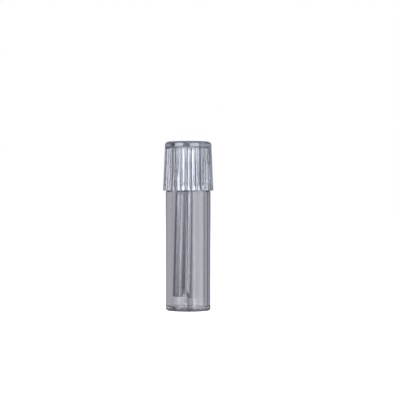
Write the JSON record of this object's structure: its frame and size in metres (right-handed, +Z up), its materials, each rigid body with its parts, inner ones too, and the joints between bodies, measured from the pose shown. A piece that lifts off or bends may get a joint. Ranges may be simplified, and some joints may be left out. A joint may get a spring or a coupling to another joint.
{
  "type": "spare lead case",
  "caption": "Small clear round case for spare compass leads: a tube closed by a thin flat floor, a ribbed push-on cap, and two loose leads inside.",
  "frame": {"origin": "centre of the tube's flat foot, on which the closed case stands", "axes": "+Z up the tube's axis towards the cap, -Y to the front, +X to the right seen from the front"},
  "size_m": [0.0098, 0.0098, 0.0324],
  "materials": {
    "clear_tube": "clear moulded styrene with a faint smoky lavender tint, polished",
    "clear_cap": "clear moulded styrene, a little paler than the tube, ribbed outside",
    "graphite": "fired graphite and clay, satin with a metallic sheen"
  },
  "bodies": {
    "tube": {"tube": "clear_tube"},
    "cap": {"cap": "clear_cap"},
    "lead_1": {"lead_1": "graphite"},
    "lead_2": {"lead_2": "graphite"}
  },
  "joints": [
    {"name": "cap_pull", "type": "slide", "parent": "tube", "child": "cap", "axis": [0, 0, 1], "range_m": [0, 0.014]},
    {"name": "lead_1_rattle", "type": "slide", "parent": "tube", "child": "lead_1", "axis": [0.0272, 0, 0.9996], "range_m": [-0.00175, 0.002]},
    {"name": "lead_2_rattle", "type": "slide", "parent": "tube", "child": "lead_2", "axis": [0.0144, 0, 0.9999], "range_m": [-0.0012, 0.002]}
  ]
}
